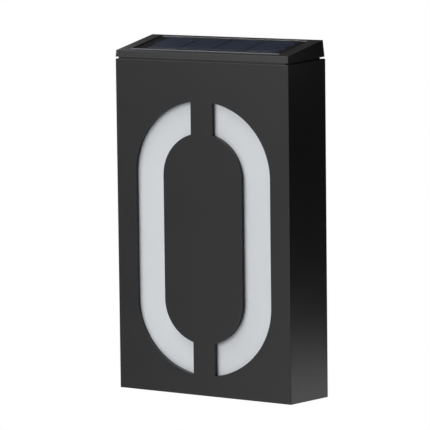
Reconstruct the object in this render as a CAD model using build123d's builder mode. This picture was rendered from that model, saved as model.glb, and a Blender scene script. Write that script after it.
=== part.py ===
from build123d import *
import os
from math import atan2, cos, radians, sin, tan

os.makedirs("parts", exist_ok=True)

# A solar house number light: an upright box that hangs on a wall plate, with a stencil digit cut
# through its front and a wedge-shaped solar head plugged into its top.
# X runs across the front, +Y into the wall and +Z up. The origin lies on the wall, midway between
# the two wall screws. All sizes are in millimetres. A depth is measured from the wall towards the
# room, and a height from the foot of the body.

# Overall form
lamp_width = 115.0
lamp_depth = 38.0
body_height = 188.0
shadow_gap = 1.1  # between the body and the solar head
head_front = 3.7  # height of the head's front edge
head_back = 10.6  # height of the head at the wall
head_draft = 4.0  # degrees that the head's sides lean in
body_flare = 1.2  # degrees that each side of the body spreads towards the wall
head_flare = 0.75  # and each side of the head
foot_draft = 2.0  # degrees that the body's underside drops towards the wall
rim_draft = 1.65  # degrees that the body's top and the head's foot rise towards the wall
wall_gap = 0.5  # body and head stop this far short of the wall
edge_round = 0.2
small_round = 0.6  # button, rail and wall plate
sheet_corner = 2.0  # corners of the sheets and trays inside the body

# Walls and fits
side_wall = 2.2
front_wall = 2.6
thin_wall = 1.2  # trays inside the body and the head
fit_gap = 0.4  # loose fit of a plate or tray in its opening
slide_gap = 0.3  # running fit of the flat moving pieces
screw_gap = 0.15  # a screw's shank in a clearance hole
thread_gap = 0.05  # a screw, stud or lead in the hole that holds it
plunger_gap = 0.06

# The stencil digit
digit_low = 11.2  # height of its lowest edge
digit_top_margin = 22.0  # from the body's top down to its highest edge
digit_side_margin = 12.6  # from the body's sides
digit_outer_rise = 41.6  # height of the oval ends, outside and inside
digit_inner_rise = 24.7
digit_side_stroke = 19.0
digit_end_stroke = 17.9
digit_bridge = 14.2  # solid strip that ties the middle to the front

# Diffuser, reflector tray and light boards
diffuser_thickness = 2.0
diffuser_margin = 1.9  # beyond the digit at the sides
diffuser_end_margin = 5.2  # and above and below it
tray_depth = 20.0  # rear face of the reflector tray
board_width = 8.0
board_length = 132.0
board_drop = 0.6  # the boards' middle below the digit's middle
board_thickness = 1.6
chip_size = 3.5
chip_thickness = 1.9
chip_chamfer = 0.3
chip_count = 4
chip_pitch = 34.0
board_screw_inset = 33.0
rear_boss_radius = 2.0
rear_boss_length = 2.6
block_boss_length = 3.4
lug_height = 9.0
lug_reach = 5.8  # beyond the tray's side
lug_thickness = 2.4
lug_foot_margin = 33.8  # lower lug above the digit's lowest edge
lug_top_margin = 23.0  # upper lug below its highest edge

# Back cover, its seal and its screws
cover_depth = 7.0  # rear face of the cover
cover_thickness = 2.0
cover_seal_thickness = 1.0
ledge_width = 2.2
ledge_thickness = 1.7
boss_radius = 2.8
boss_inset = 7.5  # from the side of the body to a boss
boss_rib = 1.6
cover_boss_end = 8.5  # from the ends of the body to a boss

# Screws: M2.5 and M2 shanks with their pan heads
screw_radius = 1.25
screw_head_radius = 2.2
screw_head_height = 1.5
small_screw_radius = 1.0
small_head_radius = 1.8
small_head_height = 1.2
drive_width = 0.7
drive_span = 1.3  # length of the cross drive over the head's radius
tray_screw_length = 8.0
cover_screw_length = 12.0
board_screw_length = 4.6
block_screw_length = 5.6
control_screw_length = 4.6

# Wall plate and hanger rail
screw_line_drop = 38.0  # wall screws below the top of the body
wall_screw_spacing = 60.0
wall_hole_radius = 2.25
plate_width = 84.0
plate_height = 38.0
plate_thickness = 1.5
plate_corner = 4.0
plate_above_screws = 16.0
hook_width = 16.0
hook_spacing = 48.0
hook_height = 9.0  # tongue above the plate's top edge
hook_throat = 2.2  # between the wall plate and the tongue
rail_lip = 7.0
rail_flange = 13.0
rail_length = 84.0
rivet_spacing = 38.0
rivet_count = 3
rivet_radius = 1.2
rivet_head_radius = 2.2
rivet_head_height = 0.8
rivet_bulb_radius = 1.8
rivet_bulb_height = 1.2
bumper_radius = 5.0
bumper_spacing = 80.0
bumper_height = 20.0
bumper_round = 1.0

# Power switch on the underside
switch_depth = 14.7
switch_half_depth = 4.7
switch_width = 12.0
switch_height = 12.6
switch_flange_width = 21.0
switch_flange_thickness = 1.5
switch_screw_spacing = 16.6
switch_round = 0.5
button_radius = 3.2
button_recess = 0.6  # behind the body's underside
button_flange_radius = 4.0
button_flange_thickness = 1.2
button_travel = 1.5
button_over_travel = 0.4
plunger_radius = 2.0
plunger_length = 5.0
plunger_chamfer = 0.4

# Solar head: battery tray that plugs into the body
spigot_side_gap = 1.2  # between the tray and the body's upper bosses
spigot_front_gap = 1.4  # between the tray and the inside of the front
spigot_height = 16.0
seal_front_inset = 0.35
seal_side_inset = 1.6
seal_back_inset = 1.6
seal_width = 2.0
seal_corner = 0.5
spigot_corner = 1.0
head_post_radius = 3.2
head_post_inset = 3.7  # from the outside of the battery tray
head_screw_seat = 2.0
head_boss_radius = 2.6
rear_core_depth = 5.8
rear_core_width = 3.8

# Solar panel in the head's sloping top
panel_side_border = 7.5
panel_front_border = 4.6
panel_back_border = 2.8
panel_recess = 1.95
panel_floor = 1.2
substrate_thickness = 0.8
cell_thickness = 0.3
cover_sheet_thickness = 0.7
cover_clearance = 0.05  # between the clear cover and the sheet, cells and tabs under it
cell_count = 4
cell_gap = 1.3
cell_side_margin = 6.65  # from the sides of the panel to the row of cells
cell_front_margin = 5.6
cell_back_margin = 3.7
cell_shift = 0.3  # towards the lead end of the panel
panel_gap = 0.2
tab_width = 0.9
tab_length = 2.6
tab_spacing = 9.0
tab_gap = 0.3

# Battery and its contacts
battery_radius = 7.1
battery_length = 49.2
nub_radius = 2.7
nub_length = 1.3
contact_thickness = 0.5
contact_height = 11.0
contact_width = 13.0
battery_end_gap = 0.6  # between the far contact and the head posts
battery_round = 0.8

# Control board in the head, and the contacts between head and body
control_width = 24.0
control_thickness = 1.2
control_height = 6.8  # above the battery tray's floor face
control_gap = 0.8
control_post_radius = 2.2
control_post_bore = 4.0
control_post_places = ((-8.0, 4.0), (9.0, -6.8))  # from the board's middle
stud_radius = 0.9
stud_head_radius = 1.6
stud_head_height = 0.6
stud_depth = 16.5
stud_pitch = 4.0
stud_count = 4
stud_offset = 2.1  # from the middle of the control board towards the cell
block_width = 19.0
block_height = 8.6
block_depth = 13.0
block_lug_width = 5.0
block_lug_thickness = 2.0
pin_tip_radius = 0.6
pin_reach = 1.4

# Leads
lead_radius = 0.6
lead_hole_radius = 0.9
lead_arc_share = 0.45  # of the shorter run beside a bend
link_depth = 18.4
switch_bends = ((38.0, 26.0), (34.0, 24.0))  # upper and lower bend of each switch lead
terminal_spacing = 5.0
lead_exit_insets = (7.0, 3.0)  # from the upper end of a light board
link_rises = (9.0, 13.0)  # above the power switch
clip_width = 10.0
clip_height = 5.0
clip_depth = 14.6
clip_corner = 1.0
clip_heights = (128.0, 88.0, 50.0)
solar_lead_offsets = (1.0, 4.5)  # in front of the middle of the battery tray
solar_lead_inset = 4.0  # from the end of the control board
battery_lead_insets = (3.0, 6.0)  # from the middle of the control board
battery_lead_height = 2.4  # above the battery tray's floor face
battery_lead_setback = 3.0  # behind the middle of the battery tray
minus_lead_clearance = 0.8  # from the front wall of the battery tray

# Worked out from the above
screw_line_height = body_height - screw_line_drop
base = -screw_line_height
foot_drop = (lamp_depth - wall_gap) * tan(radians(foot_draft))
rim_rise = (lamp_depth - wall_gap) * tan(radians(rim_draft))
button_foot = button_recess - (lamp_depth - switch_depth) * tan(radians(foot_draft))
inner_half = lamp_width / 2 - side_wall
front_inside = lamp_depth - front_wall
digit_high = body_height - digit_top_margin
digit_half_width = lamp_width / 2 - digit_side_margin
diffuser_back = front_inside - diffuser_thickness
diffuser_half = digit_half_width + diffuser_margin
diffuser_low = digit_low - diffuser_end_margin
diffuser_high = digit_high + diffuser_end_margin
diffuser_middle = (diffuser_low + diffuser_high) / 2
tray_floor = tray_depth + thin_wall
lug_heights = (digit_low + lug_foot_margin, digit_high - lug_top_margin)
boss_x = lamp_width / 2 - boss_inset
cover_boss_heights = (cover_boss_end, body_height / 2, body_height - cover_boss_end)
cover_front = cover_depth + cover_thickness
ledge_depth = cover_front + cover_seal_thickness
cover_half = inner_half - fit_gap
cover_low = side_wall + fit_gap
cover_high = body_height - side_wall - fit_gap
cover_middle = (cover_low + cover_high) / 2
board_x = digit_half_width - digit_side_stroke / 2
board_middle = (digit_low + digit_high) / 2 - board_drop
board_low = board_middle - board_length / 2
board_face = tray_floor + board_thickness
hook_depth = plate_thickness + hook_throat
plate_top = screw_line_height + plate_above_screws
hook_top = plate_top + hook_height
pad_height = side_wall + ledge_width
switch_top = pad_height + switch_height
head_base = body_height + shadow_gap
spigot_width = 2 * (boss_x - boss_radius - spigot_side_gap)
spigot_depth = ledge_depth + ledge_thickness + slide_gap
spigot_thickness = front_inside - spigot_front_gap - spigot_depth
spigot_low = head_base - spigot_height
spigot_floor = spigot_low + thin_wall
spigot_front = spigot_depth + spigot_thickness
spigot_middle = spigot_depth + spigot_thickness / 2
slope = atan2(head_back - head_front, lamp_depth)
slope_length = lamp_depth / cos(slope)
control_low = spigot_floor + control_height - thin_wall
control_top = control_low + control_thickness
post_face = spigot_width / 2 - head_post_inset - head_post_radius
control_x = post_face - control_width / 2
battery_contact_start = battery_end_gap - post_face
battery_start = battery_contact_start + contact_thickness
battery_end = battery_start + battery_length + nub_length
stud_centre = control_x - stud_offset
stud_xs = [stud_centre + (i - (stud_count - 1) / 2) * stud_pitch for i in range(stud_count)]
block_top = spigot_low - pin_reach
block_low = block_top - block_height


def layer(depth):
    """Upright plane facing the room, with X across and the height above the foot as its axes."""
    return Plane(origin=(0, -depth, base), x_dir=(1, 0, 0), z_dir=(0, -1, 0))


def level(height):
    """Level plane, looking up, with X across and minus the depth as its axes."""
    return Plane(origin=(0, 0, base + height), x_dir=(1, 0, 0), z_dir=(0, 0, 1))


def below(height):
    """Level plane, looking down, with X across and the depth as its axes."""
    return Plane(origin=(0, 0, base + height), x_dir=(1, 0, 0), z_dir=(0, 0, -1))


def side(x):
    """Upright plane across the lamp, with the depth and the height as its axes."""
    return Plane(origin=(x, 0, base), x_dir=(0, -1, 0), z_dir=(-1, 0, 0))


def slope_height(depth):
    """Height of the head's sloping top above the head's own underside."""
    return head_back - (head_back - head_front) * depth / lamp_depth


def core_height(depth):
    """Height of the hollow under the panel recess above the head's own underside."""
    return slope_height(depth) - (panel_recess + panel_floor) / cos(slope)


def at(x, depth, height):
    """Point in the part's own frame from an X, a depth and a height."""
    return (x, -depth, base + height)


def plan(plane, flare):
    """Outline of body or head seen from above, wider at the wall than at the front."""
    front_half = lamp_width / 2
    rear_half = front_half + (lamp_depth - wall_gap) * tan(radians(flare))
    with BuildSketch(plane) as outline:
        with BuildLine():
            Polyline(
                (-front_half, -lamp_depth),
                (front_half, -lamp_depth),
                (rear_half, -wall_gap),
                (-rear_half, -wall_gap),
                close=True,
            )
        make_face()
    return outline.sketch


def slab(plane, centre, width, height, thickness, corner=0.0, mode=Mode.ADD):
    """Rectangular slab that grows along the plane's normal."""
    with BuildSketch(plane) as outline:
        with Locations(centre):
            if corner > 0:
                RectangleRounded(width, height, corner)
            else:
                Rectangle(width, height)
    extrude(outline.sketch, amount=thickness, mode=mode)


def pocket(plane, centre, width, height, depth):
    """Rectangular cut-out that grows along the plane's normal."""
    slab(plane, centre, width, height, depth, mode=Mode.SUBTRACT)


def rods(plane, points, radius, length, mode=Mode.ADD):
    """Round bars that start on the plane and grow along its normal."""
    with BuildSketch(plane) as ends:
        with Locations(*points):
            Circle(radius)
    extrude(ends.sketch, amount=length, mode=mode)


def bores(plane, points, radius, depth):
    """Round holes that start on the plane and grow along its normal."""
    rods(plane, points, radius, depth, mode=Mode.SUBTRACT)


def screws(plane, points, length, radius, head_radius, head_height):
    """Pan-head screws whose heads sit on the plane and whose shanks point along its normal."""
    rods(plane, points, radius, length)
    rods(plane, points, head_radius, -head_height)
    with BuildSketch(plane.offset(-head_height)) as drive:
        with Locations(*points):
            Rectangle(drive_span * head_radius, drive_width)
            Rectangle(drive_width, drive_span * head_radius)
    extrude(drive.sketch, amount=head_height / 2, mode=Mode.SUBTRACT)


def big_screws(plane, points, length):
    """M2.5 pan-head screws."""
    screws(plane, points, length, screw_radius, screw_head_radius, screw_head_height)


def small_screws(plane, points, length):
    """M2 pan-head screws."""
    screws(plane, points, length, small_screw_radius, small_head_radius, small_head_height)


def lead(points):
    """Round lead: straight runs joined by arcs as large as the runs leave room for."""
    corners = [Vector(*point) for point in points]
    radii = []
    for before, corner, after in zip(corners, corners[1:], corners[2:]):
        shorter = min((corner - before).length, (after - corner).length)
        turn = (corner - before).get_angle(after - corner)
        radii.append(lead_arc_share * shorter / tan(radians(turn / 2)))
    with BuildLine() as route:
        FilletPolyline(*points, radius=radii)
    with BuildSketch(Plane(origin=route.line @ 0, z_dir=route.line % 0)) as end:
        Circle(lead_radius)
    sweep(end.sketch, path=route.line)


def oval(rise, half_width, low, high, mode):
    """Upright oval with straight sides, from the front face through the front wall."""
    with BuildSketch(layer(lamp_depth)) as outline:
        with Locations((0, low + rise), (0, high - rise)):
            Ellipse(half_width, rise)
        with Locations((0, (low + high) / 2)):
            Rectangle(2 * half_width, high - low - 2 * rise)
    extrude(outline.sketch, amount=-front_wall, mode=mode)


# Housing: one open-backed moulding with the digit cut through its front
cover_boss_points = [(x, z) for x in (-boss_x, boss_x) for z in cover_boss_heights]
lug_points = [(x, z) for x in (-boss_x, boss_x) for z in lug_heights]
switch_screw_xs = (-switch_screw_spacing / 2, switch_screw_spacing / 2)
switch_screw_points = [(x, switch_depth) for x in switch_screw_xs]
body_middle = body_height / 2
rib_width = boss_inset - side_wall

foot_plane = Plane(
    origin=at(0, lamp_depth, 0),
    x_dir=(1, 0, 0),
    z_dir=(0, sin(radians(foot_draft)), cos(radians(foot_draft))),
)
rim_plane = Plane(
    origin=at(0, lamp_depth, body_height),
    x_dir=(1, 0, 0),
    z_dir=(0, -sin(radians(rim_draft)), cos(radians(rim_draft))),
)

with BuildPart() as housing:
    extrude(plan(level(-foot_drop), body_flare), amount=foot_drop + body_height + rim_rise)
    split(bisect_by=foot_plane, keep=Keep.TOP)
    split(bisect_by=rim_plane, keep=Keep.BOTTOM)
    fillet(housing.edges(), edge_round)
    inner_height = body_height - 2 * side_wall
    pocket(layer(wall_gap), (0, body_middle), 2 * inner_half, inner_height, front_inside - wall_gap)

    # ledge all round for the back cover's seal
    slab(layer(ledge_depth), (0, body_middle), 2 * inner_half, inner_height, ledge_thickness)
    ledge_hole_width = 2 * (inner_half - ledge_width)
    ledge_hole_height = inner_height - 2 * ledge_width
    pocket(layer(ledge_depth), (0, body_middle), ledge_hole_width, ledge_hole_height, ledge_thickness)

    # bosses for the cover screws and, shorter, for the reflector tray, each tied to its side wall
    rods(layer(cover_front), cover_boss_points, boss_radius, front_inside - cover_front)
    lug_face = tray_depth + lug_thickness
    rods(layer(lug_face), lug_points, boss_radius, front_inside - lug_face)
    for x, z in cover_boss_points + lug_points:
        rib_x = (x + inner_half * (1 if x > 0 else -1)) / 2
        slab(layer(lug_face), (rib_x, z), rib_width, boss_rib, front_inside - lug_face)
    cover_pilot = cover_screw_length - cover_thickness + fit_gap
    bores(layer(cover_front), cover_boss_points, screw_radius + thread_gap, cover_pilot)
    lug_pilot = tray_screw_length - lug_thickness + fit_gap
    bores(layer(lug_face), lug_points, screw_radius + thread_gap, lug_pilot)

    # pad under the power switch, with the button's hole and two blind screw holes
    pad_depth = 2 * switch_half_depth
    slab(below(side_wall), (0, switch_depth), switch_flange_width, pad_depth, -ledge_width)
    button_hole_depth = pad_height + foot_drop
    bores(below(pad_height), [(0, switch_depth)], button_radius + slide_gap, button_hole_depth)
    switch_pilot = pad_height - small_round
    bores(below(pad_height), switch_screw_points, small_screw_radius + thread_gap, switch_pilot)

    # opening in the top that takes the head's battery tray
    opening_width = spigot_width + 2 * slide_gap
    opening_depth = spigot_thickness + 2 * slide_gap
    mouth = below(body_height + rim_rise)
    pocket(mouth, (0, spigot_middle), opening_width, opening_depth, side_wall + rim_rise)

    # the digit: an oval ring cut through the front, left standing where the bridge crosses it
    digit_inner_half = digit_half_width - digit_side_stroke
    inner_low = digit_low + digit_end_stroke
    inner_high = digit_high - digit_end_stroke
    digit_middle = (digit_low + digit_high) / 2
    oval(digit_outer_rise, digit_half_width, digit_low, digit_high, Mode.SUBTRACT)
    oval(digit_inner_rise, digit_inner_half, inner_low, inner_high, Mode.ADD)
    digit_height = digit_high - digit_low
    slab(layer(front_inside), (0, digit_middle), digit_bridge, digit_height, front_wall)
housing.part.label = "housing"
export_step(housing.part, "parts/housing.step")

# Diffuser: opal sheet behind the cut-outs
diffuser_height = diffuser_high - diffuser_low
with BuildPart() as diffuser:
    sheet_back = layer(diffuser_back)
    centre = (0, diffuser_middle)
    slab(sheet_back, centre, 2 * diffuser_half, diffuser_height, diffuser_thickness, sheet_corner)
diffuser.part.label = "diffuser"
export_step(diffuser.part, "parts/diffuser.step")

# Reflector tray: white tray that presses the diffuser against the front and carries the lights
board_centres = [(-board_x, board_middle), (board_x, board_middle)]
board_screw_heights = (board_low + board_screw_inset, board_low + board_length - board_screw_inset)
board_screw_points = [(x, z) for x in (-board_x, board_x) for z in board_screw_heights]
lead_exit_heights = [board_low + board_length - inset for inset in lead_exit_insets]
link_heights = [switch_top + rise for rise in link_rises]
lead_exits = [(board_x, z) for z in lead_exit_heights]
link_exits = [(x, z) for x in (-board_x, board_x) for z in link_heights]
block_lug_x = block_width / 2 + block_lug_width / 2
block_screw_height = block_low + block_height / 2
block_screw_xs = (stud_centre - block_lug_x, stud_centre + block_lug_x)
block_screw_points = [(x, block_screw_height) for x in block_screw_xs]

with BuildPart() as reflector_tray:
    tray_rise = diffuser_back - tray_depth
    centre = (0, diffuser_middle)
    slab(layer(tray_depth), centre, 2 * diffuser_half, diffuser_height, tray_rise, sheet_corner)
    hollow_width = 2 * (diffuser_half - thin_wall)
    hollow_height = diffuser_height - 2 * thin_wall
    pocket(layer(tray_floor), centre, hollow_width, hollow_height, tray_rise - thin_wall)
    for x, z in lug_points:
        lug_x = (diffuser_half - thin_wall + lug_reach / 2) * (1 if x > 0 else -1)
        slab(layer(tray_depth), (lug_x, z), lug_reach + 2 * thin_wall, lug_height, lug_thickness)
    rods(layer(tray_depth), board_screw_points, rear_boss_radius, -rear_boss_length)
    rods(layer(tray_floor), block_screw_points, rear_boss_radius, block_boss_length)
    bores(layer(tray_depth), lug_points, screw_radius + screw_gap, lug_thickness)
    board_pilot = thin_wall + rear_boss_length
    bores(layer(tray_floor), board_screw_points, small_screw_radius + thread_gap, -board_pilot)
    block_pilot = block_screw_length - block_lug_thickness + fit_gap
    bores(layer(tray_depth), block_screw_points, small_screw_radius + thread_gap, block_pilot)
    bores(layer(tray_depth), lead_exits + link_exits, lead_hole_radius, thin_wall)
reflector_tray.part.label = "reflector_tray"
export_step(reflector_tray.part, "parts/reflector_tray.step")

with BuildPart() as tray_screws:
    big_screws(layer(tray_depth), lug_points, tray_screw_length)
tray_screws.part.label = "tray_screws"
export_step(tray_screws.part, "parts/tray_screws.step")

# Light boards: two white strips, one behind each half of the digit, with four lights each
with BuildPart() as led_board_left:
    slab(layer(tray_floor), board_centres[0], board_width, board_length, board_thickness)
    bores(layer(tray_floor), board_screw_points[:2], small_screw_radius + screw_gap, board_thickness)
led_board_left.part.label = "led_board_left"
export_step(led_board_left.part, "parts/led_board_left.step")

with BuildPart() as led_board_right:
    slab(layer(tray_floor), board_centres[1], board_width, board_length, board_thickness)
    bores(layer(tray_floor), board_screw_points[2:], small_screw_radius + screw_gap, board_thickness)
led_board_right.part.label = "led_board_right"
export_step(led_board_right.part, "parts/led_board_right.step")

chip_heights = [board_middle + (i - (chip_count - 1) / 2) * chip_pitch for i in range(chip_count)]
chip_points = [(x, z) for x in (-board_x, board_x) for z in chip_heights]
with BuildPart() as led_chips:
    with BuildSketch(layer(board_face)):
        with Locations(*chip_points):
            Rectangle(chip_size, chip_size)
    extrude(amount=chip_thickness)
    chamfer(led_chips.faces().filter_by(Axis.Y).group_by(Axis.Y)[0].edges(), chip_chamfer)
led_chips.part.label = "led_chips"
export_step(led_chips.part, "parts/led_chips.step")

with BuildPart() as led_board_screws:
    facing_wall = Plane(origin=(0, -board_face, base), x_dir=(1, 0, 0), z_dir=(0, 1, 0))
    small_screws(facing_wall, [(x, -z) for x, z in board_screw_points], board_screw_length)
led_board_screws.part.label = "led_board_screws"
export_step(led_board_screws.part, "parts/led_board_screws.step")

# Contact block: carries the four spring pins that meet the studs under the solar head
stud_points = [(x, stud_depth) for x in stud_xs]
with BuildPart() as contact_block:
    centre = (stud_centre, block_low + block_height / 2)
    slab(layer(block_depth), centre, block_width, block_height, tray_depth - block_depth)
    lug_plane = layer(tray_depth - block_lug_thickness)
    slab(lug_plane, centre, block_width + 2 * block_lug_width, block_height, block_lug_thickness)
    bores(below(block_top), stud_points, stud_radius + thread_gap, block_height)
    bores(lug_plane, block_screw_points, small_screw_radius + screw_gap, block_lug_thickness)
contact_block.part.label = "contact_block"
export_step(contact_block.part, "parts/contact_block.step")

with BuildPart() as contact_block_screws:
    small_screws(layer(tray_depth - block_lug_thickness), block_screw_points, block_screw_length)
contact_block_screws.part.label = "contact_block_screws"
export_step(contact_block_screws.part, "parts/contact_block_screws.step")

with BuildPart() as contact_pins:
    rods(below(block_top), stud_points, stud_radius, block_height)
    rods(below(block_top), stud_points, pin_tip_radius, -pin_reach)
contact_pins.part.label = "contact_pins"
export_step(contact_pins.part, "parts/contact_pins.step")

# Power switch: a push switch on the floor of the housing, above its button
pocket_height = button_flange_thickness + button_travel + button_over_travel
bore_height = pocket_height + plunger_length
with BuildPart() as switch_body:
    pad_depth = 2 * switch_half_depth
    centre = (0, switch_depth)
    slab(below(pad_height), centre, switch_flange_width, pad_depth, -switch_flange_thickness)
    slab(below(pad_height), centre, switch_width, pad_depth, -switch_height)
    fillet(switch_body.edges().filter_by(Axis.Z).group_by(SortBy.LENGTH)[-1], switch_round)
    flange_room = button_flange_radius + fit_gap / 2
    bores(below(pad_height), [centre], flange_room, -pocket_height)
    bores(below(pad_height), [centre], plunger_radius + plunger_gap, -bore_height)
    flange_bore = small_screw_radius + screw_gap
    bores(below(pad_height), switch_screw_points, flange_bore, -switch_flange_thickness)
switch_body.part.label = "switch_body"
export_step(switch_body.part, "parts/switch_body.step")

with BuildPart() as switch_screws:
    seat = below(pad_height + switch_flange_thickness)
    length = switch_flange_thickness + pad_height - 2 * small_round
    small_screws(seat, switch_screw_points, length)
switch_screws.part.label = "switch_screws"
export_step(switch_screws.part, "parts/switch_screws.step")

with BuildPart() as switch_button:
    centre = (0, switch_depth)
    rods(below(pad_height), [centre], button_radius, pad_height - button_foot)
    rods(below(pad_height), [centre], button_flange_radius, -button_flange_thickness)
    fillet(switch_button.faces().sort_by(Axis.Z)[0].edges(), small_round)
switch_button.part.label = "switch_button"
export_step(switch_button.part, "parts/switch_button.step")

with BuildPart() as switch_plunger:
    foot = below(pad_height + button_flange_thickness)
    rods(foot, [(0, switch_depth)], plunger_radius, -plunger_length)
    chamfer(switch_plunger.faces().sort_by(Axis.Z)[-1].edges(), plunger_chamfer)
switch_plunger.part.label = "switch_plunger"
export_step(switch_plunger.part, "parts/switch_plunger.step")

# Leads inside the housing: two to the switch, two to the right light board, two across to the left
lead_depth = stud_depth
terminal_xs = (-terminal_spacing / 2, terminal_spacing / 2)
with BuildPart() as switch_leads:
    for pin_x, end_x, (high_bend, low_bend) in zip(stud_xs[:2], terminal_xs, switch_bends):
        route = [
            at(pin_x, lead_depth, block_low),
            at(pin_x, lead_depth, high_bend),
            at(end_x, switch_depth, low_bend),
            at(end_x, switch_depth, switch_top),
        ]
        lead(route)
switch_leads.part.label = "switch_leads"
export_step(switch_leads.part, "parts/switch_leads.step")

with BuildPart() as led_leads:
    for pin_x, exit_height in zip(stud_xs[2:], lead_exit_heights):
        route = [
            at(pin_x, lead_depth, block_low),
            at(pin_x, lead_depth, exit_height),
            at(board_x, lead_depth, exit_height),
            at(board_x, tray_floor, exit_height),
        ]
        lead(route)
led_leads.part.label = "led_leads"
export_step(led_leads.part, "parts/led_leads.step")

with BuildPart() as link_leads:
    for height in link_heights:
        route = [
            at(board_x, tray_floor, height),
            at(board_x, link_depth, height),
            at(-board_x, link_depth, height),
            at(-board_x, tray_floor, height),
        ]
        lead(route)
link_leads.part.label = "link_leads"
export_step(link_leads.part, "parts/link_leads.step")

with BuildPart() as lead_clips:
    clip_points = [((stud_xs[0] + stud_xs[1]) / 2, height) for height in clip_heights]
    clip_rise = tray_depth - clip_depth
    for point in clip_points:
        slab(layer(clip_depth), point, clip_width, clip_height, clip_rise, clip_corner)
    clip_grooves = [(x, -lead_depth) for x in stud_xs[:2]]
    for height in clip_heights:
        clip_foot = level(height - clip_height / 2)
        bores(clip_foot, clip_grooves, lead_radius + thread_gap, clip_height)
lead_clips.part.label = "lead_clips"
export_step(lead_clips.part, "parts/lead_clips.step")

# Back cover, its seal and its screws
cover_height = cover_high - cover_low
rail_top = hook_top + plate_thickness
rivet_height = rail_top - rail_flange / 2
rivet_xs = [(i - (rivet_count - 1) / 2) * rivet_spacing for i in range(rivet_count)]
rivet_points = [(x, rivet_height) for x in rivet_xs]
with BuildPart() as back_cover:
    centre = (0, cover_middle)
    slab(layer(cover_depth), centre, 2 * cover_half, cover_height, cover_thickness, sheet_corner)
    bores(layer(cover_depth), cover_boss_points, screw_radius + screw_gap, cover_thickness)
    bores(layer(cover_depth), rivet_points, rivet_radius + thread_gap, cover_thickness)
back_cover.part.label = "back_cover"
export_step(back_cover.part, "parts/back_cover.step")

with BuildPart() as back_cover_seal:
    seal_strip = ledge_width - fit_gap
    centre = (0, cover_middle)
    seal_plane = layer(cover_front)
    slab(seal_plane, centre, 2 * cover_half, cover_height, cover_seal_thickness, sheet_corner)
    hole_width = 2 * (cover_half - seal_strip)
    hole_height = cover_height - 2 * seal_strip
    pocket(seal_plane, centre, hole_width, hole_height, cover_seal_thickness)
back_cover_seal.part.label = "back_cover_seal"
export_step(back_cover_seal.part, "parts/back_cover_seal.step")

with BuildPart() as back_cover_screws:
    big_screws(layer(cover_depth), cover_boss_points, cover_screw_length)
back_cover_screws.part.label = "back_cover_screws"
export_step(back_cover_screws.part, "parts/back_cover_screws.step")

# Hanger rail: a folded strip riveted to the back cover, open downwards, that drops over the hooks
rail_back = cover_depth - plate_thickness
lip_depth = plate_thickness + (hook_throat - plate_thickness) / 2
with BuildPart() as hanger_rail:
    with BuildSketch(side(0)) as profile:
        with BuildLine():
            Polyline(
                (cover_depth, rail_top - rail_flange),
                (cover_depth, rail_top),
                (lip_depth, rail_top),
                (lip_depth, hook_top - rail_lip),
                (lip_depth + plate_thickness, hook_top - rail_lip),
                (lip_depth + plate_thickness, hook_top),
                (rail_back, hook_top),
                (rail_back, rail_top - rail_flange),
                close=True,
            )
        make_face()
    extrude(profile.sketch, amount=rail_length / 2, both=True)
    fillet(hanger_rail.edges().filter_by(Axis.X).group_by(Axis.Z)[-1], small_round)
    bores(layer(rail_back), rivet_points, rivet_radius + thread_gap, plate_thickness)
hanger_rail.part.label = "hanger_rail"
export_step(hanger_rail.part, "parts/hanger_rail.step")

with BuildPart() as rail_rivets:
    rods(layer(rail_back), rivet_points, rivet_radius, plate_thickness + cover_thickness)
    rods(layer(rail_back), rivet_points, rivet_head_radius, -rivet_head_height)
    rods(layer(cover_front), rivet_points, rivet_bulb_radius, rivet_bulb_height)
rail_rivets.part.label = "rail_rivets"
export_step(rail_rivets.part, "parts/rail_rivets.step")

with BuildPart() as wall_bumpers:
    bumper_points = [(-bumper_spacing / 2, bumper_height), (bumper_spacing / 2, bumper_height)]
    rods(layer(slide_gap), bumper_points, bumper_radius, cover_depth - slide_gap)
    fillet(wall_bumpers.faces().filter_by(Axis.Y).group_by(Axis.Y)[-1].edges(), bumper_round)
wall_bumpers.part.label = "wall_bumpers"
export_step(wall_bumpers.part, "parts/wall_bumpers.step")

# Wall plate: folded steel plate, screwed to the wall, with two hooks that point up
plate_middle = plate_top - plate_height / 2
with BuildPart() as wall_plate:
    slab(layer(0), (0, plate_middle), plate_width, plate_height, plate_thickness, plate_corner)
    wall_hole_xs = (-wall_screw_spacing / 2, wall_screw_spacing / 2)
    wall_holes = [(x, screw_line_height) for x in wall_hole_xs]
    bores(layer(0), wall_holes, wall_hole_radius, plate_thickness)
    for x in (-hook_spacing / 2, hook_spacing / 2):
        with BuildSketch(side(x)) as profile:
            with BuildLine():
                Polyline(
                    (0, plate_top - plate_thickness),
                    (hook_depth + plate_thickness, plate_top - plate_thickness),
                    (hook_depth + plate_thickness, hook_top),
                    (hook_depth, hook_top),
                    (hook_depth, plate_top),
                    (0, plate_top),
                    close=True,
                )
            make_face()
        extrude(profile.sketch, amount=hook_width / 2, both=True)
    bends = wall_plate.edges().filter_by(Axis.X).group_by(Axis.Y)[0].group_by(Axis.Z)[0]
    fillet(bends, small_round)
wall_plate.part.label = "wall_plate"
export_step(wall_plate.part, "parts/wall_plate.step")

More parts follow.
